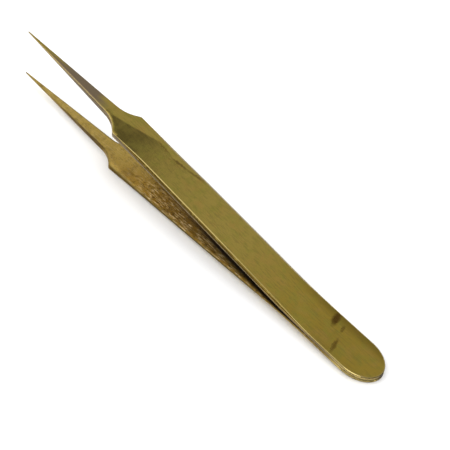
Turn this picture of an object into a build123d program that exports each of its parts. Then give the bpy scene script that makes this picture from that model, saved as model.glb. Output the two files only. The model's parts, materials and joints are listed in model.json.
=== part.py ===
"""Needle-point brass tongs for stamps: two sprung arms brazed together at a rounded heel."""

import os
from math import cos, degrees, radians, sin, tan, atan2

from build123d import *

os.makedirs("parts", exist_ok=True)

# Driving dimensions (mm, degrees). Along the tool, x runs from the heel end (0) to the tips.
overall_length = 120.0          # heel end to tips
heel_width = 9.8                # widest place, where the heel rounding begins
heel_rounding = 7.0             # length of the half ellipse that ends the heel
shoulder_width = 8.8            # across the shoulders
shoulder_radius = 0.8           # softening of each shoulder corner in plan
shank_length = 30.4             # tip back to the root of the slender shank
shoulder_length = 5.8           # shoulders to shank root, the concave stretch
shank_root_width = 3.2
tip_width = 0.24

heel_thickness = 0.75           # each arm, from the heel through the springy bend
shoulder_thickness = 1.32
shank_root_thickness = 1.56
tip_thickness = 0.18

joined_length = 14.0            # the arms lie brazed together over this length
bend_length = 17.0              # the stretch over which they part
bend_angle = 5.3                # slope of each arm's inner face at the end of that bend
shank_angle = 3.0               # slope of the same face along the shank
braze_thickness = 0.1           # film of braze between the two heels
braze_setback = 0.15            # the film stops this far inside the edge of the heel
flex_from_braze = 12.0          # past the brazed length, the line where each arm is hinged

# Places that follow from those sizes.
shank_root_x = overall_length - shank_length
shoulder_x = shank_root_x - shoulder_length
bend_end_x = joined_length + bend_length
flex_x = joined_length + flex_from_braze
face = braze_thickness / 2      # inner face of an arm above the middle plane, at the heel


def inner_height(x):
    """Height of the upper arm's inner face above the middle plane, past the bend's end."""
    bend_rise = bend_length * tan(radians(bend_angle / 2))
    bow_rise = (shoulder_x - bend_end_x) * tan(radians((bend_angle + shank_angle) / 2))
    if x <= bend_end_x:
        return face + bend_rise
    return face + bend_rise + bow_rise + (x - shoulder_x) * tan(radians(shank_angle))


def half_width(x):
    """Half the arm's width between the heel rounding and the shoulders."""
    taper = (heel_width - shoulder_width) / (shoulder_x - heel_rounding)
    return (heel_width - (x - heel_rounding) * taper) / 2


outer_heel = face + heel_thickness
outer_shoulder = inner_height(shoulder_x) + shoulder_thickness
outer_root = inner_height(shank_root_x) + shank_root_thickness
outer_tip = inner_height(overall_length) + tip_thickness

# At rest the tool lies on the lower arm: on its heel end and on its belly, the shoulder or the
# shank root, whichever stands out further.
rest_tilt = max(
    degrees(atan2(outer_shoulder - outer_heel, shoulder_x)),
    degrees(atan2(outer_root - outer_heel, shank_root_x)),
)
along = (-cos(radians(rest_tilt)), 0, sin(radians(rest_tilt)))
upward = (sin(radians(rest_tilt)), 0, cos(radians(rest_tilt)))
reach = overall_length * along[0] - (outer_tip - outer_heel) * upward[0]
heel_end = (-reach / 2, 0, outer_heel * upward[2])

# The tool's own planes: the middle plane between the arms, and the side view.
middle = Plane(origin=heel_end, x_dir=along, z_dir=upward)
side = Plane(origin=heel_end, x_dir=along, z_dir=(0, 1, 0))

# The upper arm's shape from the side, then cut to its outline from above.
with BuildPart() as upper_arm:
    with BuildSketch(side):
        with BuildLine():
            inner_flat = Line((0, face), (joined_length, face))
            inner_bend = TangentArc(
                inner_flat @ 1, (bend_end_x, inner_height(bend_end_x)), tangent=inner_flat % 1
            )
            inner_bow = TangentArc(
                inner_bend @ 1, (shoulder_x, inner_height(shoulder_x)), tangent=inner_bend % 1
            )
            inner_shank = Line(inner_bow @ 1, (overall_length, inner_height(overall_length)))
            outer_flat = Line((0, outer_heel), (joined_length, outer_heel))
            outer_bend = TangentArc(
                outer_flat @ 1,
                (bend_end_x, inner_height(bend_end_x) + heel_thickness),
                tangent=outer_flat % 1,
            )
            outer_bow = TangentArc(
                outer_bend @ 1, (shoulder_x, outer_shoulder), tangent=outer_bend % 1
            )
            Polyline(
                outer_bow @ 1,
                (shank_root_x, outer_root),
                (overall_length, outer_tip),
                inner_shank @ 1,
            )
            Line(inner_flat @ 0, outer_flat @ 0)
        make_face()
    extrude(amount=heel_width, both=True)
    with BuildSketch(middle) as outline:
        with BuildLine():
            EllipticalCenterArc(
                (heel_rounding, 0), heel_rounding, heel_width / 2, start_angle=90, arc_size=90
            )
            arm_side = Line((heel_rounding, heel_width / 2), (shoulder_x, shoulder_width / 2))
            shank_side = Line((overall_length, tip_width / 2), (shank_root_x, shank_root_width / 2))
            TangentArc(shank_side @ 1, arm_side @ 1, tangent=shank_side % 1)
            Line((overall_length, 0), shank_side @ 0)
            mirror(about=Plane.XZ)
        make_face()
        corners = outline.vertices().filter_by_position(Axis.X, shoulder_x - 0.1, shoulder_x + 0.1)
        fillet(corners, shoulder_radius)
    extrude(amount=outer_shoulder + outer_root, both=True, mode=Mode.INTERSECT)

# Each arm is one piece of brass. It is parted at the flex line so that the sprung blade can turn.
flex_line = Plane(origin=middle.from_local_coords((flex_x, 0, 0)), x_dir=upward, z_dir=along)

with BuildPart() as upper_arm_heel:
    add(upper_arm.part)
    split(bisect_by=flex_line, keep=Keep.BOTTOM)
upper_arm_heel.part.label = "upper_arm_heel"

with BuildPart() as upper_arm_blade:
    add(upper_arm.part)
    split(bisect_by=flex_line, keep=Keep.TOP)
upper_arm_blade.part.label = "upper_arm_blade"

with BuildPart() as lower_arm_heel:
    mirror(upper_arm_heel.part, about=middle)
lower_arm_heel.part.label = "lower_arm_heel"

with BuildPart() as lower_arm_blade:
    mirror(upper_arm_blade.part, about=middle)
lower_arm_blade.part.label = "lower_arm_blade"

# The film of braze that joins the two heels, a little inside their outline.
with BuildPart() as heel_braze:
    with BuildSketch(middle.offset(-face)):
        with BuildLine():
            EllipticalCenterArc(
                (heel_rounding, 0),
                heel_rounding - braze_setback,
                heel_width / 2 - braze_setback,
                start_angle=90,
                arc_size=180,
            )
            Polyline(
                (heel_rounding, half_width(heel_rounding) - braze_setback),
                (joined_length, half_width(joined_length) - braze_setback),
                (joined_length, braze_setback - half_width(joined_length)),
                (heel_rounding, braze_setback - half_width(heel_rounding)),
            )
        make_face()
    extrude(amount=braze_thickness)
heel_braze.part.label = "heel_braze"

for piece in (upper_arm_heel, upper_arm_blade, lower_arm_heel, lower_arm_blade, heel_braze):
    export_step(piece.part, f"parts/{piece.part.label}.step")
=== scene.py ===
"""Looks of the needle-point brass tongs: two sprung strips, their braze and a pale studio."""

import json
from math import asin, cos, pi, radians, sin, sqrt, tan

import bmesh
import bpy
from mathutils import Matrix, Vector


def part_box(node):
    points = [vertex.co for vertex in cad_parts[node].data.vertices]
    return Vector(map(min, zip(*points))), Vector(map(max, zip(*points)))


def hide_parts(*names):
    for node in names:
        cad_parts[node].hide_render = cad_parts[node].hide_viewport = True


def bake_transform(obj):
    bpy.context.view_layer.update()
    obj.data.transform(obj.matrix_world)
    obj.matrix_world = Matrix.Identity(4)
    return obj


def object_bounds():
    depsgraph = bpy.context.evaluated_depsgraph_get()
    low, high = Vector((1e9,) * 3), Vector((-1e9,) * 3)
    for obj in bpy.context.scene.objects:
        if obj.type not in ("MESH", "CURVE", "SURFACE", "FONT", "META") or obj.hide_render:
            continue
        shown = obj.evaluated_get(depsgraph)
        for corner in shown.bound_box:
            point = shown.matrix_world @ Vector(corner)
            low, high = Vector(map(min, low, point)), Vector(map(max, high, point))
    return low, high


bl_info = {
    "name": "Brass Stamp Tongs",
    "version": (1, 0, 0),
    "blender": (4, 5, 0),
    "location": "View3D > Sidebar > Tongs",
    "description": "Models needle-point brass tongs around their packed frame",
    "category": "Add Mesh",
}

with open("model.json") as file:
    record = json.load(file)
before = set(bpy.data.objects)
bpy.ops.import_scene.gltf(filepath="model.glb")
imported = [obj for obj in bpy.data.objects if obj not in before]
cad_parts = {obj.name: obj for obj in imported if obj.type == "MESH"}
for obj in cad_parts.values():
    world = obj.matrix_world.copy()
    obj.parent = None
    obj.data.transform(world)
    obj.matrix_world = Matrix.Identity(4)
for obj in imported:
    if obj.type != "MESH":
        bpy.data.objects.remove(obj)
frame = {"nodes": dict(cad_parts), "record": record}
CAD_BOUNDS = [list(corner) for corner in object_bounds()]
MM = 0.001


# ---------------------------------------------------------------- places read from the frame

def mount(name):
    """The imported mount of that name."""
    return next(m for m in frame["record"]["mounts"] if m["name"] == name)


HEEL_HALF_THICKNESS = (
    Vector(mount("heel_upper_face")["pos_m"]) - Vector(mount("heel_lower_face")["pos_m"])
).length / 2
UPWARD = Vector(mount("heel_upper_face")["axis"]).normalized()
ALONG = Vector((-UPWARD.z, 0.0, UPWARD.x))
ACROSS = UPWARD.cross(ALONG)
HEEL_END = Vector(
    (
        max(corner[0] for corner in CAD_BOUNDS) - HEEL_HALF_THICKNESS * UPWARD.x,
        0.0,
        HEEL_HALF_THICKNESS * UPWARD.z,
    )
)
TOOL = Matrix(
    (
        (ALONG.x, ACROSS.x, UPWARD.x, HEEL_END.x),
        (ALONG.y, ACROSS.y, UPWARD.y, HEEL_END.y),
        (ALONG.z, ACROSS.z, UPWARD.z, HEEL_END.z),
        (0.0, 0.0, 0.0, 1.0),
    )
)
LENGTH = (Vector(mount("tips")["pos_m"]) - HEEL_END).dot(ALONG)
HEEL_LOW, HEEL_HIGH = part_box("upper_arm_heel")
HEEL_WIDTH = HEEL_HIGH.y - HEEL_LOW.y


# ---------------------------------------------------------------- sizes and colours to change

def length(name, description, default):
    """A length property in metres."""
    return bpy.props.FloatProperty(
        name=name, description=description, default=default, unit="LENGTH", precision=5
    )


def angle(name, description, degrees):
    """An angle property, given in degrees."""
    return bpy.props.FloatProperty(
        name=name, description=description, default=radians(degrees), unit="ROTATION"
    )


def colour(name, description, default):
    """A linear colour property."""
    return bpy.props.FloatVectorProperty(
        name=name, description=description, default=default, subtype="COLOR", min=0.0, max=1.0
    )


class TongsArmSizes(bpy.types.PropertyGroup):
    """Sizes of one arm, the same for both."""

    heel_rounding: length("Heel rounding", "Length of the half ellipse at the heel", 7.0 * MM)
    shoulder_width: length("Shoulder width", "Width across the shoulders", 8.8 * MM)
    shoulder_softness: length("Shoulder softness", "Rounding of the shoulder corners", 0.55 * MM)
    shank_length: length("Shank length", "Tip back to the root of the shank", 30.4 * MM)
    shoulder_length: length("Shoulder length", "Shoulder to the root of the shank", 5.8 * MM)
    root_width: length("Root width", "Width of the shank at its root", 3.2 * MM)
    tip_width: length("Tip width", "Width of the needle point", 0.24 * MM)
    heel_thickness: length("Heel thickness", "Thickness of the strip at the heel", 0.75 * MM)
    shoulder_thickness: length("Shoulder thickness", "Thickness at the shoulders", 1.32 * MM)
    root_thickness: length("Root thickness", "Thickness at the shank's root", 1.56 * MM)
    tip_thickness: length("Tip thickness", "Thickness of the needle point", 0.18 * MM)
    joined_length: length("Joined length", "Length brazed at the heel", 14.0 * MM)
    bend_length: length("Bend length", "Stretch over which the arms part", 17.0 * MM)
    bend_angle: angle("Bend angle", "Slope of the inner face after the bend", 5.3)
    shank_angle: angle("Shank angle", "Slope of the inner face along the shank", 3.0)
    outer_bevel: length("Outer bevel", "Rounding of the outer face's rim at the heel", 0.22 * MM)
    arm_bevel: length("Arm bevel", "Rounding of the outer face's rim along the arm", 0.10 * MM)
    fine_bevel: length("Fine bevel", "Rounding of the rim at the bend and the neck", 0.035 * MM)
    shank_bevel: length("Shank bevel", "Rounding of the rim along the shank", 0.07 * MM)
    facet_angle: angle("Facet angle", "Tilt of the facet dressed beside the shank", 3.5)
    facet_kink_x: length("Facet kink", "Heel end to the kink in the facet's crease", 75.6 * MM)
    facet_kink_y: length("Facet kink offset", "Middle line to that kink", 2.85 * MM)
    facet_waist_x: length("Facet waist", "Heel end to the crease's second kink", 69.0 * MM)
    facet_waist_y: length("Facet waist offset", "Middle line to the second kink", 2.35 * MM)
    facet_end_x: length("Facet end", "Heel end to where the crease meets the rim", 60.5 * MM)
    chamfer_width: length("Chamfer width", "Filed chamfer along the arms' outer edges", 0.48 * MM)
    chamfer_depth: length("Chamfer depth", "How far down the wall that chamfer goes", 0.27 * MM)
    shank_crown: bpy.props.FloatProperty(
        name="Shank crown", description="Height of the shank's crown as a share of its half width",
        default=0.06, min=0.0, max=0.5, subtype="FACTOR",
    )


class TongsFinish(bpy.types.PropertyGroup):
    """Colours and polish of the brass."""

    brass: colour("Brass", "Clean polished brass", (0.80, 0.60, 0.135))
    satin: colour("Satin brass", "Brass of the brushed inner faces", (0.62, 0.435, 0.10))
    heel_brass: colour("Heel brass", "Deeper yellow of the handled heel", (0.73, 0.51, 0.08))
    # Painted shade on the inner faces between the arms, near the bend.
    bend_shade_brown: colour("Inner brown", "Inner faces near the bend", (0.38, 0.23, 0.035))
    # The chamfers' dark brown is painted dark reflection.
    chamfer: colour("Chamfer", "Brown brass of the filed chamfers", (0.26, 0.17, 0.03))
    wall: colour("Wall", "Dull brass of the side walls", (0.32, 0.215, 0.06))
    # Painted dark reflection on the side walls.
    wall_dark_reflection: colour("Dark wall", "Darkest brown of the side walls", (0.10, 0.06, 0.008))
    # Also the colour of the painted dark reflection streaks along the facet's crease.
    tarnish: colour("Tarnish", "Brown tarnish", (0.20, 0.11, 0.02))
    polish: bpy.props.FloatProperty(
        name="Polish", description="Roughness of the polished faces",
        default=0.13, min=0.0, max=1.0, subtype="FACTOR",
    )
    satin_roughness: bpy.props.FloatProperty(
        name="Satin roughness", description="Roughness of the brushed inner faces",
        default=0.34, min=0.0, max=1.0, subtype="FACTOR",
    )


class TongsStage(bpy.types.PropertyGroup):
    """Camera and studio."""

    azimuth: angle("Azimuth", "Camera's turn about the vertical, from the front", 42.71)
    elevation: angle("Elevation", "Camera's height angle", 45.48)
    roll: angle("Roll", "Camera's turn about its own axis", 6.89)
    distance: length("Distance", "Camera to the point it looks at", 0.4014)
    look_at: bpy.props.FloatVectorProperty(
        name="Look at", description="Point in the middle of the picture",
        default=(0.00967, 0.00127, 0.0050), subtype="TRANSLATION", unit="LENGTH",
    )
    lens: bpy.props.FloatProperty(
        name="Lens", description="Focal length in millimetres", default=144.4, min=20.0, max=400.0
    )
    room_light: bpy.props.FloatProperty(
        name="Room light", description="Brightness of the room that polished brass mirrors",
        default=0.33, min=0.0, max=10.0,
    )
    dome_light: bpy.props.FloatProperty(
        name="Dome light", description="Brightness of the white dome that lights the floor",
        default=1.05, min=0.0, max=10.0,
    )
    floor: colour("Floor", "Pale paper under the tongs", (0.91, 0.91, 0.91))


# ---------------------------------------------------------------- the strip's shape

class ArmShape:
    """Width and heights of the upper arm at each place along it, in the tool's own frame."""

    def __init__(self, sizes):
        self.s = sizes
        self.root_x = LENGTH - sizes.shank_length
        self.shoulder_x = self.root_x - sizes.shoulder_length
        self.bend_end_x = sizes.joined_length + sizes.bend_length
        self.face = HEEL_HALF_THICKNESS - sizes.heel_thickness
        self.bend_radius = sizes.bend_length / sin(sizes.bend_angle)
        self.bow_radius = (self.shoulder_x - self.bend_end_x) / (
            sin(sizes.bend_angle) - sin(sizes.shank_angle)
        )
        self._place_neck()

    def _place_neck(self):
        """Circle of the concave neck: along the shank at its root, and through the shoulder."""
        half_root = self.s.root_width / 2
        slope = (self.s.tip_width / 2 - half_root) / self.s.shank_length
        outward = Vector((-slope, 1.0)).normalized()
        reach = Vector((-self.s.shoulder_length, self.s.shoulder_width / 2 - half_root))
        self.neck_radius = reach.length_squared / (2 * reach.dot(outward))
        self.neck_centre = Vector((self.root_x, half_root)) + outward * self.neck_radius

    def side_width(self, x):
        """Half width of the straight side, between the heel's rounding and the shoulder."""
        share = (x - self.s.heel_rounding) / (self.shoulder_x - self.s.heel_rounding)
        return (HEEL_WIDTH + (self.s.shoulder_width - HEEL_WIDTH) * share) / 2

    def neck_width(self, x):
        """Half width of the concave neck, carried on past the shoulder."""
        furthest = 0.98 * self.neck_radius
        away = max(-furthest, x - self.neck_centre.x)
        return self.neck_centre.y - sqrt(self.neck_radius**2 - away**2)

    def half_width(self, x):
        """Half width of the arm."""
        if x < self.s.heel_rounding:
            share = 1 - x / self.s.heel_rounding
            return HEEL_WIDTH / 2 * sqrt(max(0.0, 1 - share * share))
        if x >= self.root_x:
            share = (x - self.root_x) / self.s.shank_length
            return (self.s.root_width + (self.s.tip_width - self.s.root_width) * share) / 2
        side, neck = self.side_width(x), self.neck_width(x)
        overlap = max(0.0, self.s.shoulder_softness - abs(side - neck))
        return min(side, neck) - overlap**2 / (4 * self.s.shoulder_softness)

    def inner(self, x):
        """Height of the inner face: flat, an arc apart, a slight bow, then straight."""
        if x <= self.s.joined_length:
            return self.face
        if x <= self.bend_end_x:
            run = x - self.s.joined_length
            return self.face + self.bend_radius - sqrt(self.bend_radius**2 - run**2)
        a, b = self.s.bend_angle, self.s.shank_angle
        bow_start = self.face + self.bend_radius * (1 - cos(a))
        if x <= self.shoulder_x:
            run = self.bow_radius * sin(a) - (x - self.bend_end_x)
            return bow_start - self.bow_radius * cos(a) + sqrt(self.bow_radius**2 - run**2)
        return bow_start + self.bow_radius * (cos(b) - cos(a)) + (x - self.shoulder_x) * tan(b)

    def thickness(self, x):
        """Thickness of the strip: thin and even at the heel, thickest at the shank's root."""
        s = self.s
        if x <= self.bend_end_x:
            return s.heel_thickness
        if x <= self.shoulder_x:
            share = (x - self.bend_end_x) / (self.shoulder_x - self.bend_end_x)
            return s.heel_thickness + (s.shoulder_thickness - s.heel_thickness) * share**2
        if x <= self.root_x:
            share = (x - self.shoulder_x) / s.shoulder_length
            return s.shoulder_thickness + (s.root_thickness - s.shoulder_thickness) * share
        share = (x - self.root_x) / s.shank_length
        return s.root_thickness + (s.tip_thickness - s.root_thickness) * share

    def crease_points(self):
        """The facet's crease: places along and across the arm, from the rim to the shank's root."""
        s = self.s
        return (
            (s.facet_end_x, -self.face_half_width(s.facet_end_x)),
            (s.facet_waist_x, -s.facet_waist_y),
            (s.facet_kink_x, -s.facet_kink_y),
            (self.root_x, self.face_half_width(self.root_x)),
        )

    def crease(self, x):
        """Sideways place of the facet's crease, or None where there is no facet."""
        if x > self.root_x:
            return self.face_half_width(x)
        points = self.crease_points()
        for (start, here), (end, there) in zip(points, points[1:]):
            if start < x <= end:
                return here + (there - here) * (x - start) / (end - start)
        return None

    def chamfer_share(self, x):
        """How much of the full chamfer the outer edges have: none at heel, neck and shank."""
        rise = (x - self.s.joined_length) / self.s.bend_length
        fall = (self.shoulder_x - x) / (2 * self.s.shoulder_length)
        share = min(1.0, max(0.0, rise), max(0.0, fall))
        return share * share * (3 - 2 * share)

    def rim_bevel(self, x):
        """Bevel of the outer rim: wide at the heel, fine at bend and neck, rubbed in between."""
        s = self.s
        stops = (
            (0.0, s.outer_bevel),
            (s.joined_length, s.outer_bevel),
            (s.joined_length + s.bend_length / 2, s.fine_bevel),
            (self.bend_end_x + 6 * MM, s.fine_bevel),
            (self.bend_end_x + 14 * MM, s.arm_bevel),
            (self.shoulder_x - 3 * MM, s.arm_bevel),
            (self.shoulder_x, s.fine_bevel),
            (self.root_x, s.fine_bevel),
            (self.root_x + 4 * MM, s.shank_bevel),
            (LENGTH, s.shank_bevel),
        )
        for (start, here), (end, there) in zip(stops, stops[1:]):
            if x <= end:
                return here + (there - here) * (x - start) / (end - start)
        return s.shank_bevel

    def face_half_width(self, x):
        """Half width of the outer face, inside the chamfers."""
        return self.half_width(x) - self.s.chamfer_width * self.chamfer_share(x)

    def outer(self, x, y):
        """Height of the outer face, with its dressed facet and the shank's crown."""
        height = self.inner(x) + self.thickness(x)
        crease = self.crease(x)
        if crease is not None and y < crease:
            height -= (crease - y) * tan(self.s.facet_angle)
        if x > self.shoulder_x:
            grown = min(1.0, (x - self.shoulder_x) / (2 * self.s.shoulder_length))
            half = self.face_half_width(x)
            height -= self.s.shank_crown * half * grown * (y / half) ** 2
        return height

    def stations(self):
        """Places along the arm where it has a row of points, closest where it curves most."""
        s = self.s
        heel_steps, corner = 16, 1.5 * MM
        places = [s.heel_rounding * (1 - cos(pi / 2 * i / heel_steps)) for i in range(heel_steps)]
        stretches = (
            (s.heel_rounding, s.joined_length, 4),
            (s.joined_length, self.bend_end_x, 14),
            (self.bend_end_x, s.facet_end_x, 14),
            (s.facet_end_x, s.facet_waist_x, 5),
            (s.facet_waist_x, s.facet_kink_x, 4),
            (s.facet_kink_x, self.shoulder_x - corner, 5),
            (self.shoulder_x - corner, self.shoulder_x + corner, 14),
            (self.shoulder_x + corner, self.root_x, 18),
            (self.root_x, LENGTH, 26),
        )
        for start, end, steps in stretches:
            places += [start + (end - start) * i / steps for i in range(steps)]
        return places + [LENGTH]


# ---------------------------------------------------------------- mesh helpers

def place_in_tool(bm, below):
    """Turns a mesh made in the tool's frame into the row frame, mirrored for the lower arm."""
    if below:
        bmesh.ops.transform(bm, matrix=Matrix.Scale(-1, 4, (0, 0, 1)), verts=bm.verts)
        bmesh.ops.reverse_faces(bm, faces=bm.faces)
    bmesh.ops.transform(bm, matrix=TOOL, verts=bm.verts)


def finish_mesh(bm, name, materials):
    """Makes an object of a bmesh, smooth shaded, at the origin."""
    mesh = bpy.data.meshes.new(name)
    bm.to_mesh(mesh)
    bm.free()
    mesh.shade_smooth()
    for material in materials:
        mesh.materials.append(material)
    piece = bpy.data.objects.new(name, mesh)
    bpy.context.scene.collection.objects.link(piece)
    return piece


def apply_modifiers(piece):
    """Gives the piece its modifiers' result as its own mesh."""
    bpy.context.view_layer.update()
    graph = bpy.context.evaluated_depsgraph_get()
    mesh = bpy.data.meshes.new_from_object(piece.evaluated_get(graph))
    old = piece.data
    piece.modifiers.clear()
    piece.data = mesh
    mesh.name = piece.name
    bpy.data.meshes.remove(old)


# The strip's materials, and their places in its list.
STRIP_MATERIALS = (
    "polished_brass", "satin_brass", "filed_brass", "chamfer_brass", "rubbed_rim_brass",
)
OUTER, INNER, WALL, CHAMFER, RIM = range(5)

ROWS_ACROSS = 8
SAME_PLACE = 0.0001 * MM
NEARLY_SAME = 0.02 * MM
ON_CREASE = 0.01 * MM
# Share of the chamfer's depth that the rims keep where there is no chamfer.
RIM_DROP = 0.3


def strip_bmesh(shape):
    """The upper arm as a closed bmesh in the tool's frame, with bevel weights on its rims."""
    bm = bmesh.new()
    places = shape.stations()
    columns = len(places) - 1
    bmesh.ops.create_grid(bm, x_segments=columns, y_segments=ROWS_ACROSS, size=0.5)
    for vert in bm.verts:
        x = places[round((vert.co.x + 0.5) * columns)]
        vert.co = (x, 2 * vert.co.y * shape.face_half_width(x), 0.0)
    bmesh.ops.remove_doubles(bm, verts=bm.verts, dist=SAME_PLACE)
    cut_crease(bm, shape)
    bmesh.ops.remove_doubles(bm, verts=bm.verts, dist=NEARLY_SAME)
    flatten_heel(bm, shape)
    uv = bm.loops.layers.uv.new("wall")

    outer_faces = list(bm.faces)
    copied = bmesh.ops.duplicate(bm, geom=outer_faces)["geom"]
    inner_verts = {item for item in copied if isinstance(item, bmesh.types.BMVert)}
    inner_faces = [item for item in copied if isinstance(item, bmesh.types.BMFace)]
    for face in outer_faces:
        face.material_index = OUTER
    for face in inner_faces:
        face.material_index = INNER
    for vert in bm.verts:
        x, y = vert.co.x, vert.co.y
        if vert in inner_verts:
            widen = shape.half_width(x) / max(shape.face_half_width(x), 1e-9)
            vert.co = (x, y * widen, shape.inner(x))
        else:
            vert.co.z = shape.outer(x, y)
    bmesh.ops.reverse_faces(bm, faces=inner_faces)

    rim = [e for e in bm.edges if e.is_boundary and e.verts[0] not in inner_verts]
    chamfered = bmesh.ops.extrude_edge_only(bm, edges=rim)["geom"]
    chamfer_verts = {item for item in chamfered if isinstance(item, bmesh.types.BMVert)}
    for vert in chamfer_verts:
        x, share = vert.co.x, shape.chamfer_share(vert.co.x)
        side = 1.0 if vert.co.y > 0 else -1.0
        if share > 0.0:
            vert.co.y = side * shape.half_width(x)
        vert.co.z -= shape.s.chamfer_depth * (share + RIM_DROP * (1 - share))
    for item in chamfered:
        if isinstance(item, bmesh.types.BMFace):
            item.material_index = CHAMFER
    rims = [edge for edge in bm.edges if edge.is_boundary]
    walls = bmesh.ops.bridge_loops(bm, edges=rims)["faces"]
    for face in walls:
        face.material_index = WALL
        for loop in face.loops:
            loop[uv].uv = (loop.vert.co.x / LENGTH, 0.0 if loop.vert in inner_verts else 1.0)
    bmesh.ops.recalc_face_normals(bm, faces=bm.faces)
    weigh_rims(bm, shape)
    return bm


def cut_crease(bm, shape):
    """Cuts the flat outline along the facet's crease, so that the crease is an edge."""
    points = shape.crease_points()
    for (start, here), (end, there) in zip(points, points[1:]):
        a, b = Vector((start, here, 0.0)), Vector((end, there, 0.0))
        faces = [f for f in bm.faces if start < f.calc_center_median().x < end]
        verts = {v for f in faces for v in f.verts}
        edges = {e for f in faces for e in f.edges}
        normal = (b - a).cross(Vector((0, 0, 1))).normalized()
        bmesh.ops.bisect_plane(
            bm, geom=[*faces, *edges, *verts], dist=1e-6, plane_co=a, plane_no=normal
        )
    for edge in bm.edges:
        edge.smooth = not all(
            points[0][0] < v.co.x <= shape.root_x + 1e-6
            and abs(v.co.y - shape.crease(v.co.x)) < ON_CREASE
            for v in edge.verts
        )


def flatten_heel(bm, shape):
    """Makes the flat, rounded end of the heel one face, so that its rim bevels evenly."""
    end = [f for f in bm.faces if f.calc_center_median().x < shape.s.heel_rounding]
    bmesh.ops.dissolve_faces(bm, faces=end)


def weigh_rims(bm, shape):
    """Bevel weights of the outer faces' rims, shrinking along the shanks to the tips."""
    layer = bm.edges.layers.float.new("bevel_weight_edge")
    s = shape.s
    for edge in bm.edges:
        kinds = {face.material_index for face in edge.link_faces}
        if kinds != {OUTER, CHAMFER}:
            continue
        x = max(vert.co.x for vert in edge.verts)
        size = shape.rim_bevel(x)
        if x > shape.root_x:
            size *= shape.half_width(min(x, LENGTH)) * 2 / s.root_width
        edge[layer] = size / s.outer_bevel


def make_strip(name, shape, below, materials):
    """One whole arm: strip, bevelled rims and smooth, weighted shading."""
    bm = strip_bmesh(shape)
    place_in_tool(bm, below)
    piece = finish_mesh(bm, name, materials)
    bevel = piece.modifiers.new("rims", "BEVEL")
    bevel.limit_method = "WEIGHT"
    bevel.width = shape.s.outer_bevel
    bevel.offset_type = "OFFSET"
    bevel.segments = 4
    bevel.profile = 0.5
    bevel.use_clamp_overlap = False
    bevel.material = RIM
    weighted = piece.modifiers.new("shading", "WEIGHTED_NORMAL")
    weighted.keep_sharp = True
    apply_modifiers(piece)
    return piece


# ---------------------------------------------------------------- node helpers

class Nodes:
    """Short ways to add and join shader nodes."""

    def __init__(self, tree):
        self.tree = tree

    def add(self, kind, inputs=None, **settings):
        """Adds a node, sets its attributes, and sets or links its inputs."""
        node = self.tree.nodes.new(kind)
        for key, value in settings.items():
            setattr(node, key, value)
        for key, value in (inputs or {}).items():
            socket = node.inputs[key]
            if isinstance(value, bpy.types.NodeSocket):
                self.join(value, socket)
            else:
                socket.default_value = value
        return node

    def math(self, operation, a, b=0.0, third=0.0):
        """A Math node's output."""
        inputs = {0: a, 1: b, 2: third}
        return self.add("ShaderNodeMath", inputs, operation=operation).outputs[0]

    def join(self, output, socket):
        """Links an output to an input socket."""
        self.tree.links.new(output, socket)

    def both(self, a, b):
        """How far both masks hold."""
        return self.math("MULTIPLY", a, b)

    def split(self, vector):
        """A vector's three parts."""
        return self.add("ShaderNodeSeparateXYZ", {0: vector}).outputs

    def noise(self, vector, scale, detail, roughness=0.5, distortion=0.0):
        """A noise texture's value."""
        inputs = {"Vector": vector, "Scale": scale, "Detail": detail, "Roughness": roughness,
                  "Distortion": distortion}
        return self.add("ShaderNodeTexNoise", inputs).outputs["Fac"]

    def ramp(self, value, low, high, to_low=0.0, to_high=1.0):
        """value, from low..high to to_low..to_high, smoothly and clamped."""
        inputs = {"Value": value, "From Min": low, "From Max": high,
                  "To Min": to_low, "To Max": to_high}
        node = self.add("ShaderNodeMapRange", inputs, interpolation_type="SMOOTHSTEP")
        return node.outputs["Result"]

    def mix(self, factor, a, b):
        """A colour mix's output; 0, 6, 7 and 2 are the node's colour sockets."""
        return self.add("ShaderNodeMix", {0: factor, 6: a, 7: b}, data_type="RGBA").outputs[2]


def new_group(name, inputs, outputs):
    """An empty shader node group with those sockets; returns its Nodes, input and output nodes."""
    tree = bpy.data.node_groups.new(name, "ShaderNodeTree")
    for socket, kind, default in inputs:
        made = tree.interface.new_socket(socket, in_out="INPUT", socket_type=kind)
        made.default_value = default
    for socket, kind in outputs:
        tree.interface.new_socket(socket, in_out="OUTPUT", socket_type=kind)
    nodes = Nodes(tree)
    return nodes, nodes.add("NodeGroupInput").outputs, nodes.add("NodeGroupOutput").inputs


def tool_coordinates(nodes):
    """Object coordinates in millimetres from the heel's end, with -X towards the tips."""
    place = nodes.add("ShaderNodeTexCoord").outputs["Object"]
    turn = nodes.add(
        "ShaderNodeMapping",
        {
            "Vector": place,
            "Location": tuple(-1000 * c for c in HEEL_END),
            "Scale": (1000.0, 1000.0, 1000.0),
        },
    )
    tilt = nodes.add(
        "ShaderNodeVectorRotate",
        {"Vector": turn.outputs[0], "Angle": asin(UPWARD.x)},
        rotation_type="Y_AXIS",
        invert=True,
    )
    return tilt.outputs[0]


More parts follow.
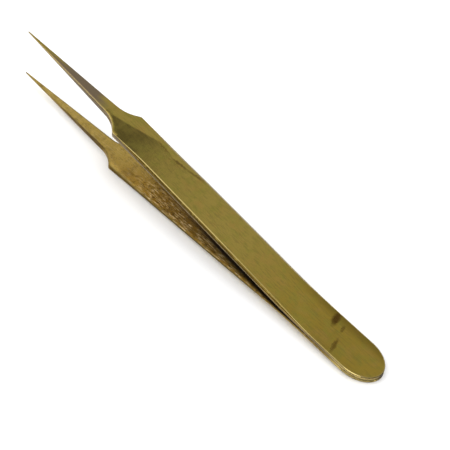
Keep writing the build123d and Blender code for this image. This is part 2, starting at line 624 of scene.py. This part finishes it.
def scratch_group():
    """Fine scratches that run along the strip: where they are, and their height."""
    nodes, given, out = new_group(
        "Lengthwise scratches",
        [("Vector", "NodeSocketVector", (0, 0, 0)), ("Fineness", "NodeSocketFloat", 6.0),
         ("Stretch", "NodeSocketFloat", 0.06), ("Amount", "NodeSocketFloat", 0.5)],
        [("Mask", "NodeSocketFloat"), ("Height", "NodeSocketFloat")],
    )
    parts = nodes.split(given["Vector"])
    along = nodes.math("MULTIPLY", parts[0], given["Stretch"])
    stretched = nodes.add("ShaderNodeCombineXYZ", {0: along, 1: parts[1], 2: parts[2]}).outputs[0]
    fine = nodes.noise(stretched, given["Fineness"], 5.0, 0.65)
    patch = nodes.ramp(nodes.noise(given["Vector"], 0.35, 2.0), 0.28, 0.48)
    lines = nodes.ramp(fine, 0.50, 0.60)
    nodes.join(nodes.both(lines, nodes.math("MULTIPLY", patch, given["Amount"])), out["Mask"])
    nodes.join(nodes.math("MULTIPLY", fine, given["Amount"]), out["Height"])
    return nodes.tree


def stain_group():
    """Blotches of tarnish that break a surface's colour up softly."""
    nodes, given, out = new_group(
        "Tarnish blotches",
        [("Vector", "NodeSocketVector", (0, 0, 0)), ("Scale", "NodeSocketFloat", 0.3),
         ("Low", "NodeSocketFloat", 0.45), ("High", "NodeSocketFloat", 0.75)],
        [("Mask", "NodeSocketFloat")],
    )
    clouds = nodes.noise(given["Vector"], given["Scale"], 4.0, 0.55, distortion=0.4)
    nodes.join(nodes.ramp(clouds, given["Low"], given["High"]), out["Mask"])
    return nodes.tree


def pit_group():
    """Small pits and specks, as on rolled brass that was never polished."""
    nodes, given, out = new_group(
        "Pits",
        [("Vector", "NodeSocketVector", (0, 0, 0)), ("Scale", "NodeSocketFloat", 3.0)],
        [("Mask", "NodeSocketFloat")],
    )
    grain = nodes.add(
        "ShaderNodeTexVoronoi", {"Vector": given["Vector"], "Scale": given["Scale"]}
    ).outputs["Distance"]
    speckled = nodes.ramp(nodes.noise(given["Vector"], 1.1, 3.0), 0.40, 0.55)
    nodes.join(nodes.both(nodes.ramp(grain, 0.20, 0.45, 1.0, 0.0), speckled), out["Mask"])
    return nodes.tree


def smudge_group():
    """One soft, narrow smudge at a place on the strip, ragged at its edge."""
    nodes, given, out = new_group(
        "Smudge",
        [("Vector", "NodeSocketVector", (0, 0, 0)), ("Centre", "NodeSocketVector", (0, 0, 0)),
         ("Size", "NodeSocketVector", (1, 1, 1)), ("Turn", "NodeSocketFloat", 0.0)],
        [("Mask", "NodeSocketFloat")],
    )
    ragged = nodes.add(
        "ShaderNodeTexNoise", {"Vector": given["Vector"], "Scale": 1.4, "Detail": 3.0}
    ).outputs["Color"]
    shift = nodes.add(
        "ShaderNodeVectorMath", {0: ragged, 1: (0.5, 0.5, 0.5)}, operation="SUBTRACT"
    ).outputs[0]
    away = nodes.add(
        "ShaderNodeVectorMath", {0: given["Vector"], 1: given["Centre"]}, operation="SUBTRACT"
    ).outputs[0]
    away = nodes.add("ShaderNodeVectorMath", {0: away, 1: shift}, operation="ADD").outputs[0]
    turned = nodes.add(
        "ShaderNodeVectorRotate", {"Vector": away, "Angle": given["Turn"]}, rotation_type="Z_AXIS"
    ).outputs[0]
    sized = nodes.add(
        "ShaderNodeVectorMath", {0: turned, 1: given["Size"]}, operation="DIVIDE"
    ).outputs[0]
    far = nodes.add("ShaderNodeVectorMath", {0: sized}, operation="LENGTH").outputs["Value"]
    nodes.join(nodes.ramp(far, 0.35, 1.15, 1.0, 0.0), out["Mask"])
    return nodes.tree


def group_node(nodes, tree, inputs):
    """The outputs of a group placed in a material, with its own values."""
    return nodes.add("ShaderNodeGroup", inputs, node_tree=tree).outputs


def new_material(name):
    """A material with only its Principled shader and output; returns it, its nodes and shader."""
    material = bpy.data.materials.new(name)
    material.use_nodes = True
    nodes = Nodes(material.node_tree)
    shader = next(n for n in material.node_tree.nodes if n.type == "BSDF_PRINCIPLED")
    shader.inputs["Metallic"].default_value = 1.0
    return material, nodes, shader


def bump(nodes, height, strength, distance):
    """A Bump node's normal."""
    inputs = {"Height": height, "Strength": strength, "Distance": distance}
    return nodes.add("ShaderNodeBump", inputs).outputs["Normal"]


# ---------------------------------------------------------------- materials

# Smudges on the arms' outer faces near the heel: along and across the tool, half length and half
# width (millimetres), turn (degrees) and strength.
SMUDGES = (
    (16.5, -3.0, 2.5, 1.05, -112.0, 1.0),
    (13.6, -2.2, 1.2, 0.4, -112.0, 0.6),
    (11.6, 2.4, 2.5, 0.6, -112.0, 0.75),
)

# Dark streaks along the facet's crease, painted dark reflection, given in the same way.
CREASE_DARK_REFLECTIONS = (
    (73.6, -2.6, 2.9, 0.34, 6.0, 0.6),
    (68.0, -2.5, 3.0, 0.40, -8.0, 0.7),
    (63.2, -3.4, 3.1, 0.36, -13.0, 0.6),
    (69.5, -1.6, 2.4, 0.30, -6.0, 0.4),
)

# Half depth of a smudge in millimetres: through both arms, so that it shows on either outer face.
SMUDGE_DEPTH = 100.0


# Tints that the materials lay over their own colours.
GREENISH_BRASS = (0.60, 0.53, 0.09)
ORANGE_BRASS = (0.84, 0.54, 0.13)
SCRATCHED_BRASS = (0.42, 0.33, 0.09)
# Darker brown for the outer face's right edge near the heel.
RIGHT_EDGE_BROWN = (0.33, 0.22, 0.03)
# Painted reflection on the shanks' outer faces.
SHANK_REFLECTION_TINT = (0.45, 0.335, 0.22)
# Painted dark reflection beside the facet's crease near the neck.
DARK_REFLECTION_BRASS = (0.40, 0.31, 0.08)
# Painted shade on the inner faces towards the middle, under the other arm.
MIDDLE_SHADE = (0.10, 0.05, 0.010)
PIT_BROWN = (0.05, 0.025, 0.006)
# Painted glints along the inner faces' real scratches.
SCRATCH_GLINT = (1.0, 0.80, 0.42)
# Painted deep shade on the inner faces beside the other arm.
DEEP_SHADE_BLACK = (0.015, 0.007, 0.002)
# Painted highlight on the walls round the heel's left side.
HEEL_WALL_HIGHLIGHT = (0.86, 0.66, 0.22)
FILED_SCRATCH = (0.50, 0.38, 0.16)
RUBBED_GOLD = (0.88, 0.70, 0.28)
BRAZE_YELLOW = (0.46, 0.38, 0.20)
BRAZE_PIT = (0.16, 0.10, 0.04)

# Slanting lines across the strip (slope, and offset in millimetres): the crease's last leg on the
# outer face, and the line on the inner face from which its painted shade darkens towards the
# middle.
CREASE_SLOPE, CREASE_OFFSET = 0.318, 26.9
SHADE_LINE_SLOPE, SHADE_LINE_OFFSET = 0.115, 6.9


def blend_in(nodes, colour_now, mask, strength, tint):
    """The colour with a tint laid over it where the mask is."""
    return nodes.mix(nodes.math("MULTIPLY", mask, strength), colour_now, (*tint, 1))


def polished_brass(groups, finish):
    """Outer faces: polished brass with blotches, faint scratches and smudges, a darker right edge
    near the heel, and painted reflection: a tint on the shanks and dark patches beside the facet's
    crease.
    """
    material, nodes, shader = new_material("polished_brass")
    place = tool_coordinates(nodes)
    parts = nodes.split(place)
    scratches = group_node(
        nodes,
        groups["scratches"],
        {"Vector": place, "Fineness": 4.0, "Stretch": 0.06, "Amount": 1.0},
    )
    green = group_node(
        nodes, groups["stains"], {"Vector": place, "Scale": 0.45, "Low": 0.42, "High": 0.7}
    )
    orange = group_node(
        nodes, groups["stains"], {"Vector": place, "Scale": 0.3, "Low": 0.48, "High": 0.72}
    )
    colour_now = nodes.mix(
        nodes.ramp(parts[0], -48.0, -20.0), (*finish.brass, 1), (*finish.heel_brass, 1)
    )
    colour_now = blend_in(nodes, colour_now, green["Mask"], 0.6, GREENISH_BRASS)
    colour_now = blend_in(nodes, colour_now, orange["Mask"], 0.55, ORANGE_BRASS)
    colour_now = blend_in(nodes, colour_now, scratches["Mask"], 0.38, SCRATCHED_BRASS)
    # Darker brown along the right edge of the outer face near the heel.
    right_edge_near_heel = nodes.both(nodes.ramp(parts[1], 1.8, 4.6), nodes.ramp(parts[0], -38.0, -18.0))
    colour_now = blend_in(nodes, colour_now, right_edge_near_heel, 0.65, RIGHT_EDGE_BROWN)
    # Painted reflection: the shank's left half, and its whole width along its middle, tinted
    # purple-brown.
    shank = nodes.both(nodes.ramp(parts[0], -88.0, -95.0), nodes.ramp(parts[0], -116.0, -106.0))
    left_half = nodes.ramp(parts[1], 0.7, -0.4)
    middle_of_shank = nodes.both(
        nodes.ramp(parts[0], -91.5, -95.0), nodes.ramp(parts[0], -111.0, -103.0)
    )
    shank_reflection_mask = nodes.both(shank, nodes.math("MAXIMUM", left_half, middle_of_shank))
    colour_now = blend_in(nodes, colour_now, shank_reflection_mask, 0.95, SHANK_REFLECTION_TINT)
    crease = nodes.math("MULTIPLY_ADD", parts[0], CREASE_SLOPE, third=CREASE_OFFSET)
    beside_crease = nodes.math("SUBTRACT", crease, parts[1])
    # Painted dark reflection: the facet's side of the crease's last leg, from 72 mm on towards the
    # neck.
    crease_dark_mask = nodes.both(nodes.ramp(beside_crease, 0.0, 0.4), nodes.ramp(parts[0], -72.0, -79.0))
    colour_now = blend_in(nodes, colour_now, crease_dark_mask, 0.6, DARK_REFLECTION_BRASS)
    roughness = nodes.math("MULTIPLY_ADD", green["Mask"], 0.05, third=finish.polish)
    # Among these, the crease's streaks are painted dark reflection; the smudges are tarnish.
    for x, y, long, wide, turn, strength in SMUDGES + CREASE_DARK_REFLECTIONS:
        mask = group_node(
            nodes,
            groups["smudge"],
            {"Vector": place, "Centre": (-x, -y, 0.0), "Size": (long, wide, SMUDGE_DEPTH),
             "Turn": radians(turn)},
        )["Mask"]
        colour_now = blend_in(nodes, colour_now, mask, strength, finish.tarnish)
        roughness = nodes.math("MULTIPLY_ADD", mask, 0.12, third=roughness)
    nodes.join(colour_now, shader.inputs["Base Color"])
    nodes.join(roughness, shader.inputs["Roughness"])
    waves = nodes.noise(place, 0.22, 3.0, 0.55)
    height = nodes.math("MULTIPLY_ADD", scratches["Height"], 0.1, third=waves)
    nodes.join(bump(nodes, height, 1.0, 0.03 * MM), shader.inputs["Normal"])
    return material


def satin_brass(groups, finish):
    """Inner faces: brushed lengthwise and pitted, with painted shade between the arms, darkest
    towards the bend and towards the middle, and painted glints on the scratches.
    """
    material, nodes, shader = new_material("satin_brass")
    shader.inputs["Metallic"].default_value = 0.8
    place = tool_coordinates(nodes)
    parts = nodes.split(place)
    scratches = group_node(
        nodes,
        groups["scratches"],
        {"Vector": place, "Fineness": 3.4, "Stretch": 0.13, "Amount": 1.0},
    )
    fine_pits = group_node(nodes, groups["pits"], {"Vector": place, "Scale": 3.6})["Mask"]
    coarse_pits = group_node(nodes, groups["pits"], {"Vector": place, "Scale": 1.9})["Mask"]
    pits = nodes.math("MAXIMUM", fine_pits, coarse_pits)
    blotches = group_node(nodes, groups["stains"], {"Vector": place, "Scale": 0.35})
    toward_heel = nodes.ramp(parts[0], -81.0, -66.0)
    shade_line = nodes.math("MULTIPLY_ADD", parts[0], SHADE_LINE_SLOPE, third=SHADE_LINE_OFFSET)
    off_middle = nodes.math("ADD", shade_line, parts[1])
    # Painted shade: the inner face darkens from the shade line in towards the middle.
    shade_by_other_arm = nodes.both(nodes.ramp(off_middle, -1.8, 0.0), nodes.ramp(parts[0], -79.0, -60.0))
    # Painted shade: the inner faces turn brown from the shoulders towards the bend.
    colour_now = nodes.mix(toward_heel, (*finish.satin, 1), (*finish.bend_shade_brown, 1))
    colour_now = blend_in(nodes, colour_now, blotches["Mask"], 0.6, finish.tarnish)
    colour_now = blend_in(nodes, colour_now, shade_by_other_arm, 0.85, MIDDLE_SHADE)
    pitted = nodes.both(pits, nodes.math("MULTIPLY_ADD", toward_heel, 0.75, third=0.25))
    colour_now = blend_in(nodes, colour_now, pitted, 0.9, PIT_BROWN)
    # Painted glints: the scratches turn bright gold, most on the side away from the painted shade.
    rubbed = nodes.both(toward_heel, nodes.ramp(off_middle, -0.6, -2.4))
    streaks = nodes.both(scratches["Mask"], nodes.math("MULTIPLY_ADD", rubbed, 0.8, third=0.2))
    colour_now = blend_in(nodes, colour_now, streaks, 1.0, SCRATCH_GLINT)
    # Painted near-black shade near the shade line, from 48 to 62 mm from the heel.
    deep = nodes.both(nodes.ramp(off_middle, -1.7, -0.6), nodes.ramp(parts[0], -62.0, -48.0))
    colour_now = blend_in(nodes, colour_now, deep, 0.95, DEEP_SHADE_BLACK)
    nodes.join(colour_now, shader.inputs["Base Color"])
    roughness = nodes.math("MULTIPLY_ADD", pits, 0.2, third=finish.satin_roughness)
    nodes.join(roughness, shader.inputs["Roughness"])
    height = nodes.math("MULTIPLY_ADD", pits, -0.5, third=scratches["Height"])
    nodes.join(bump(nodes, height, 1.0, 0.06 * MM), shader.inputs["Normal"])
    return material


def wall_brass(groups, finish):
    """Side walls: filed and brown with age; painted dark reflection below the rim, along the shanks
    and at the heel's right end, and a painted highlight round the heel's left side.
    """
    material, nodes, shader = new_material("filed_brass")
    place = tool_coordinates(nodes)
    up_wall = nodes.add("ShaderNodeUVMap", uv_map="wall").outputs[0]
    wall = nodes.split(up_wall)
    parts = nodes.split(place)
    scratches = group_node(
        nodes,
        groups["scratches"],
        {"Vector": place, "Fineness": 4.0, "Stretch": 0.08, "Amount": 0.8},
    )
    # Painted dark reflection: a band on the walls just below the rim along the arm, and the shanks'
    # walls.
    along_arm = nodes.both(nodes.ramp(parts[0], -30.0, -38.0), nodes.ramp(parts[0], -84.5, -82.5))
    below_rim = nodes.both(along_arm, nodes.ramp(wall[1], 0.30, 0.50))
    along_shank = nodes.both(
        nodes.ramp(parts[0], -87.0, -91.0), nodes.ramp(parts[0], -116.0, -98.0)
    )
    # Painted dark reflection on the walls at the heel's right end, and a painted highlight on those
    # round its left side.
    heel = nodes.ramp(parts[0], -13.0, -6.0)
    right_of_heel = nodes.both(heel, nodes.ramp(parts[1], -1.5, 1.0))
    left_of_heel = nodes.both(heel, nodes.ramp(parts[1], 0.5, -1.5))
    dark = nodes.math("MAXIMUM", nodes.math("MAXIMUM", below_rim, along_shank), right_of_heel)
    colour_now = nodes.mix(dark, (*finish.wall, 1), (*finish.wall_dark_reflection, 1))
    colour_now = blend_in(nodes, colour_now, left_of_heel, 1.0, HEEL_WALL_HIGHLIGHT)
    colour_now = blend_in(nodes, colour_now, scratches["Mask"], 0.35, FILED_SCRATCH)
    nodes.join(colour_now, shader.inputs["Base Color"])
    shader.inputs["Roughness"].default_value = 0.32
    nodes.join(bump(nodes, scratches["Height"], 0.3, 0.03 * MM), shader.inputs["Normal"])
    return material


def chamfer_brass(groups, finish):
    """Filed chamfers along the outer edges: painted dark brown, a dark reflection, with a little
    bare brass.
    """
    material, nodes, shader = new_material("chamfer_brass")
    place = tool_coordinates(nodes)
    wear = group_node(
        nodes, groups["stains"], {"Vector": place, "Scale": 0.8, "Low": 0.5, "High": 0.75}
    )
    colour_now = blend_in(nodes, (*finish.chamfer, 1), wear["Mask"], 0.5, finish.brass)
    nodes.join(colour_now, shader.inputs["Base Color"])
    shader.inputs["Roughness"].default_value = 0.22
    return material


def rim_brass(groups, finish):
    """Bevelled rims: rubbed brighter than the faces."""
    material, nodes, shader = new_material("rubbed_rim_brass")
    place = tool_coordinates(nodes)
    wear = group_node(nodes, groups["stains"], {"Vector": place, "Scale": 0.5})
    colour_now = blend_in(nodes, (*RUBBED_GOLD, 1), wear["Mask"], 0.4, finish.brass)
    nodes.join(colour_now, shader.inputs["Base Color"])
    shader.inputs["Roughness"].default_value = 0.12
    return material


def braze_metal(groups):
    """The film of braze in the seam: dull, greyish yellow and grainy."""
    material, nodes, shader = new_material("braze_metal")
    place = tool_coordinates(nodes)
    grain = group_node(nodes, groups["pits"], {"Vector": place, "Scale": 6.0})
    colour_now = nodes.mix(grain["Mask"], (*BRAZE_YELLOW, 1), (*BRAZE_PIT, 1))
    nodes.join(colour_now, shader.inputs["Base Color"])
    shader.inputs["Roughness"].default_value = 0.5
    nodes.join(bump(nodes, grain["Mask"], 0.4, 0.04 * MM), shader.inputs["Normal"])
    return material


def finishes():
    """The materials, built once."""
    if "polished_brass" not in bpy.data.materials:
        groups = {
            "scratches": scratch_group(),
            "stains": stain_group(),
            "pits": pit_group(),
            "smudge": smudge_group(),
        }
        finish = bpy.context.scene.tongs_finish
        polished_brass(groups, finish)
        satin_brass(groups, finish)
        wall_brass(groups, finish)
        chamfer_brass(groups, finish)
        rim_brass(groups, finish)
        braze_metal(groups)
    return {name: bpy.data.materials[name] for name in (*STRIP_MATERIALS, "braze_metal")}


# ---------------------------------------------------------------- operators

class OBJECT_OT_tongs_arms(bpy.types.Operator):
    """Model both brass strips, each whole from heel to tip"""

    bl_idname = "object.tongs_arms"
    bl_label = "Add Tongs Arms"

    def execute(self, context):
        shape = ArmShape(context.scene.tongs_arm)
        made = finishes()
        materials = [made[name] for name in STRIP_MATERIALS]
        for side in ("upper", "lower"):
            piece = make_strip(f"{side}_arm_strip", shape, side == "lower", materials)
            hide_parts(f"{side}_arm_heel", f"{side}_arm_blade")
            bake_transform(piece)
        return {"FINISHED"}


class OBJECT_OT_tongs_braze(bpy.types.Operator):
    """Give the film of braze between the heels its metal"""

    bl_idname = "object.tongs_braze"
    bl_label = "Finish Heel Braze"

    def execute(self, context):
        node = frame["nodes"]["heel_braze"]
        node.data.materials.clear()
        node.data.materials.append(finishes()["braze_metal"])
        return {"FINISHED"}


class OBJECT_OT_tongs_stage(bpy.types.Operator):
    """Lay the pale floor, hang the soft studio light and place the camera"""

    bl_idname = "object.tongs_stage"
    bl_label = "Add Studio"

    def execute(self, context):
        stage = context.scene.tongs_stage
        add_floor(stage)
        add_sky(stage)
        for light in SOFT_LIGHTS:
            soft_light(*light)
        add_camera(stage)
        return {"FINISHED"}


# ---------------------------------------------------------------- the studio

SHEET_SIZE = 0.5
FLOOR_SIZE = 6.0


def floor_piece(name, size, hole, material):
    """A flat square floor; with a hole, a frame around the inner floor."""
    bm = bmesh.new()
    bmesh.ops.create_grid(bm, x_segments=1, y_segments=1, size=size / 2)
    if hole:
        bmesh.ops.inset_region(bm, faces=bm.faces[:], thickness=(size - hole) / 2)
        inner = min(bm.faces, key=lambda f: f.calc_center_median().length + f.calc_area())
        bmesh.ops.delete(bm, geom=[inner], context="FACES_ONLY")
    piece = finish_mesh(bm, name, [material])
    return piece


def add_floor(stage):
    """The paper sheet under the tongs, and the far floor that polished brass doesn't mirror."""
    paper = bpy.data.materials.new("pale_paper")
    paper.use_nodes = True
    shader = next(n for n in paper.node_tree.nodes if n.type == "BSDF_PRINCIPLED")
    shader.inputs["Base Color"].default_value = (*stage.floor, 1)
    shader.inputs["Roughness"].default_value = 0.9
    shader.inputs["Specular IOR Level"].default_value = 0.1
    floor_piece("paper_sheet", SHEET_SIZE, 0.0, paper)
    far = floor_piece("far_floor", FLOOR_SIZE, SHEET_SIZE, paper)
    far.visible_glossy = False


# The room that polished brass mirrors: each patch's compass angle from +X, height angle, half width
# and half height (degrees), and what it multiplies the room's light by in its middle.
ROOM_PATCHES = (
    ("left window", 175.0, 66.0, 27.0, 22.0, 3.2),
    ("front window", 278.0, 42.0, 25.0, 34.0, 6.5),
    ("dark doorway", 5.0, 40.0, 60.0, 34.0, 0.25),
    ("dark beam", 128.0, 53.5, 5.0, 6.0, 0.20),
)

# The room's light fades to a dim low wall between these heights (sine of the height angle).
LOW_WALL_TOP, ROOM_LIT_FROM = 0.02, 0.40
LOW_WALL_LIGHT = 0.14

# Brightness of the white backdrop that the camera sees past the floor.
BACKDROP_LIGHT = 1.05

# The soft lights: name, compass and height angles (degrees), diameter (metres), power (watts).
SOFT_LIGHTS = (
    ("left_soft_light", 230.0, 50.0, 0.5, 1.2),
    ("overhead_soft_light", 90.0, 75.0, 0.6, 1.5),
)
LIGHT_DISTANCE = 0.8


def direction(azimuth, elevation):
    """Unit vector towards a compass angle (degrees from +X, anticlockwise) and a height angle."""
    a, e = radians(azimuth), radians(elevation)
    return Vector((cos(e) * cos(a), cos(e) * sin(a), sin(e)))


def room_patch(nodes, way, azimuth, elevation, wide, high):
    """How far a direction is inside one soft oval patch of the room, from 0 to 1."""
    middle = direction(azimuth, elevation)
    beside = Vector((0, 0, 1)).cross(middle).normalized()
    above = middle.cross(beside)
    offsets = []
    for axis, half in ((beside, wide), (above, high)):
        dot = nodes.add("ShaderNodeVectorMath", {0: way, 1: tuple(axis)}, operation="DOT_PRODUCT")
        offset = nodes.math("DIVIDE", dot.outputs["Value"], sin(radians(half)))
        offsets.append(nodes.math("MULTIPLY", offset, offset))
    far = nodes.math("SQRT", nodes.math("ADD", *offsets))
    facing = nodes.add("ShaderNodeVectorMath", {0: way, 1: tuple(middle)}, operation="DOT_PRODUCT")
    ahead = nodes.math("GREATER_THAN", facing.outputs["Value"], 0.0)
    return nodes.math("MULTIPLY", nodes.ramp(far, 0.45, 1.0, 1.0, 0.0), ahead)


def add_sky(stage):
    """Soft white all round that gives the light, and a greyer room for the brass to mirror."""
    world = bpy.data.worlds.new("studio")
    bpy.context.scene.world = world
    world.use_nodes = True
    tree = world.node_tree
    tree.nodes.clear()
    nodes = Nodes(tree)
    ray = nodes.add("ShaderNodeLightPath").outputs
    way = nodes.add("ShaderNodeTexCoord").outputs["Generated"]
    up = nodes.split(way)[2]
    room = nodes.ramp(up, LOW_WALL_TOP, ROOM_LIT_FROM, LOW_WALL_LIGHT, stage.room_light)
    for _, azimuth, elevation, wide, high, gain in ROOM_PATCHES:
        inside = room_patch(nodes, way, azimuth, elevation, wide, high)
        room = nodes.math(
            "MULTIPLY", room, nodes.math("MULTIPLY_ADD", inside, gain - 1.0, third=1.0)
        )
    backdrop, dome, mirrored = (
        nodes.add("ShaderNodeBackground", {"Color": (1, 1, 1, 1), "Strength": light}).outputs[0]
        for light in (BACKDROP_LIGHT, stage.dome_light, room)
    )
    plain = nodes.add(
        "ShaderNodeMixShader", {0: ray["Is Camera Ray"], 1: dome, 2: backdrop}
    ).outputs[0]
    sky = nodes.add(
        "ShaderNodeMixShader", {0: ray["Is Glossy Ray"], 1: plain, 2: mirrored}
    ).outputs[0]
    nodes.add("ShaderNodeOutputWorld", {"Surface": sky})


def soft_light(name, azimuth, elevation, size, power):
    """A soft light that faces the tongs and that the brass doesn't mirror."""
    data = bpy.data.lights.new(name, "AREA")
    data.shape = "DISK"
    data.size = size
    data.energy = power
    lamp = bpy.data.objects.new(name, data)
    way = direction(azimuth, elevation)
    turn = way.to_track_quat("Z", "Y").to_matrix().to_4x4()
    lamp.matrix_world = Matrix.Translation(way * LIGHT_DISTANCE) @ turn
    lamp.visible_glossy = False
    bpy.context.scene.collection.objects.link(lamp)


def add_camera(stage):
    """The camera, from the near right and above, with the tips far left."""
    data = bpy.data.cameras.new("camera")
    data.lens = stage.lens
    data.clip_start = 0.01
    camera = bpy.data.objects.new("camera", data)
    look = Vector(stage.look_at)
    away = direction(-90.0, 0.0)
    away.rotate(Matrix.Rotation(stage.azimuth, 3, "Z"))
    back = away * cos(stage.elevation) + Vector((0, 0, sin(stage.elevation)))
    turn = back.to_track_quat("Z", "Y").to_matrix().to_4x4()
    roll = Matrix.Rotation(stage.roll, 4, "Z")
    camera.matrix_world = Matrix.Translation(look + back * stage.distance) @ turn @ roll
    bpy.context.scene.collection.objects.link(camera)
    bpy.context.scene.camera = camera
    bpy.context.scene.view_settings.view_transform = "Standard"


# ---------------------------------------------------------------- panel and running

class VIEW3D_PT_tongs(bpy.types.Panel):
    """The tongs' pieces, sizes and finish"""

    bl_idname = "VIEW3D_PT_tongs"
    bl_label = "Stamp Tongs"
    bl_space_type = "VIEW_3D"
    bl_region_type = "UI"
    bl_category = "Tongs"

    def draw(self, context):
        for operator in PIECE_OPERATORS:
            self.layout.operator(operator.bl_idname)
        for group in ("tongs_arm", "tongs_finish", "tongs_stage"):
            settings = getattr(context.scene, group)
            box = self.layout.box()
            for name in settings.__annotations__:
                box.prop(settings, name)


PIECE_OPERATORS = (OBJECT_OT_tongs_arms, OBJECT_OT_tongs_braze, OBJECT_OT_tongs_stage)
SETTINGS = {
    "tongs_arm": TongsArmSizes,
    "tongs_finish": TongsFinish,
    "tongs_stage": TongsStage,
}


def register():
    """Registers the classes and their settings."""
    for cls in (*SETTINGS.values(), *PIECE_OPERATORS, VIEW3D_PT_tongs):
        bpy.utils.register_class(cls)
    for name, cls in SETTINGS.items():
        setattr(bpy.types.Scene, name, bpy.props.PointerProperty(type=cls))


def unregister():
    """Takes the settings and classes away again."""
    for name in SETTINGS:
        delattr(bpy.types.Scene, name)
    for cls in (VIEW3D_PT_tongs, *PIECE_OPERATORS, *SETTINGS.values()):
        bpy.utils.unregister_class(cls)


def main():
    """Registers the settings and makes every piece in order."""
    register()
    bpy.ops.object.tongs_arms()
    bpy.ops.object.tongs_braze()
    bpy.ops.object.tongs_stage()


if __name__ == "__main__":
    main()
